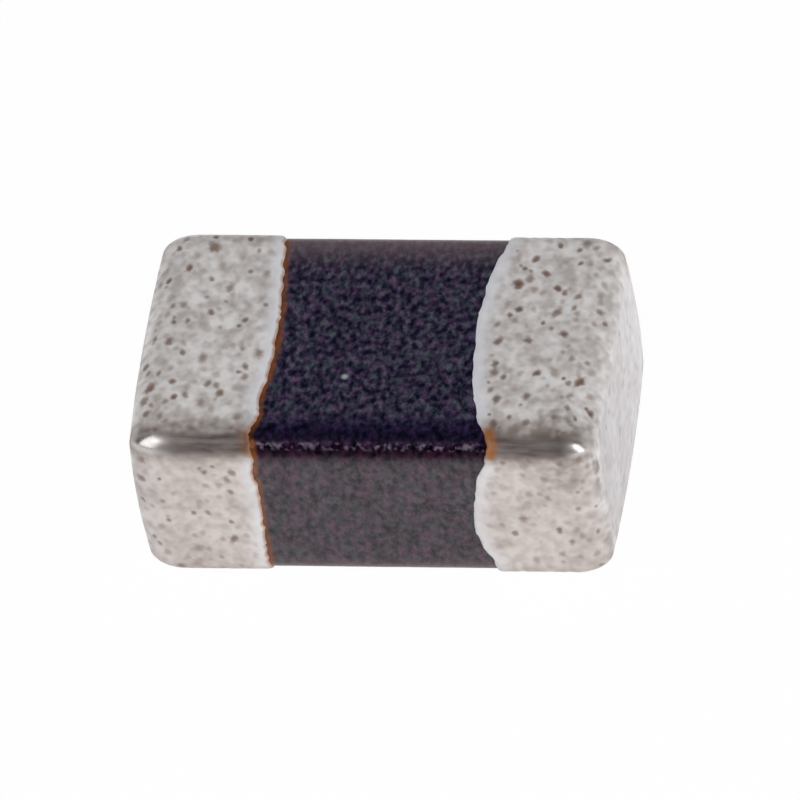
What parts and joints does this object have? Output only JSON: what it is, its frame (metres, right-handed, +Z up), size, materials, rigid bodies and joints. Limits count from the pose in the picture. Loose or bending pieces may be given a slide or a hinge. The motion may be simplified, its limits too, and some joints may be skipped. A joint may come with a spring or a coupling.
{
  "type": "smd ferrite bead",
  "caption": "Rectangular surface-mount chip bead: a dark ferrite block with a printed coil inside and a plated metal cap over each end.",
  "frame": {"origin": "centre of the footprint on the seating plane, under the middle of the chip", "axes": "+X along the length, from the left termination to the right one; +Y to the back; +Z up, away from the board"},
  "size_m": [0.002, 0.0012, 0.0008],
  "materials": {
    "ferrite": "fine-grained sintered ferrite, matt, charcoal with a violet cast",
    "coil_silver": "co-fired printed silver, sealed in the ferrite",
    "termination_silver": "fired dipped silver paste, matt, under the plating",
    "nickel": "electroplated nickel barrier, under the tin",
    "tin": "matt electroplated tin with fine dark pits, worn bright on the long edges and corners"
  },
  "bodies": {
    "root": {"ferrite_body": "ferrite", "coil_layer_1": "coil_silver", "coil_layer_2": "coil_silver", "coil_layer_3": "coil_silver", "coil_layer_4": "coil_silver", "coil_layer_5": "coil_silver", "coil_layer_6": "coil_silver", "left_silver_base": "termination_silver", "left_nickel_barrier": "nickel", "left_tin_finish": "tin", "right_silver_base": "termination_silver", "right_nickel_barrier": "nickel", "right_tin_finish": "tin"}
  },
  "joints": []
}
